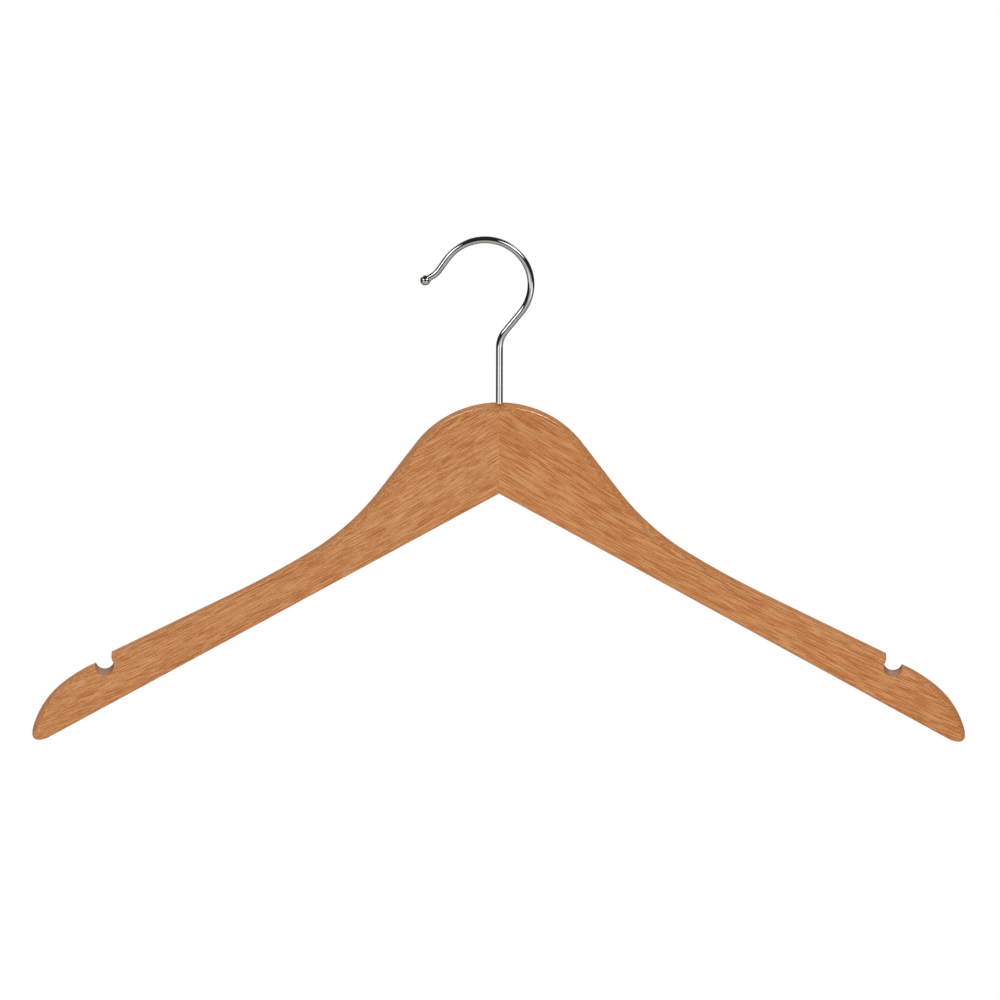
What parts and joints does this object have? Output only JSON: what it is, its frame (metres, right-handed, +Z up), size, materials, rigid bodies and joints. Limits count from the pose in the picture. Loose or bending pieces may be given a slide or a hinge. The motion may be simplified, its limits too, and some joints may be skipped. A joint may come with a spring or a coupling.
{
  "type": "clothes hanger",
  "caption": "Flat wooden top hanger with sloping shoulders, a strap notch near each tip and a swivelling chromed wire hook ending in a small ball.",
  "frame": {"origin": "centre of the overall box, on the hook's swivel axis and at mid thickness, just above the apex of the V below the neck", "axes": "+X along the shoulders towards the right tip seen from the front, -Y out of the front face, +Z up along the hook's shank"},
  "size_m": [0.432, 0.012, 0.2404],
  "materials": {
    "beech_left": "clear satin lacquer over pale beech, grain along the arm",
    "beech_right": "clear satin lacquer over pale beech, grain along the arm",
    "chrome_wire": "polished bright chrome",
    "zinc_plate": "dull zinc plate"
  },
  "bodies": {
    "shoulders": {"left_shoulder": "beech_left", "right_shoulder": "beech_right"},
    "hook": {"hook_wire": "chrome_wire", "hook_ball": "chrome_wire", "thrust_washer": "zinc_plate", "retaining_collar": "zinc_plate"}
  },
  "joints": [
    {"name": "hook_swivel", "type": "hinge", "parent": "shoulders", "child": "hook", "pos_m": [0, 0, 0.025], "axis": [0, 0, 1], "continuous": true}
  ]
}
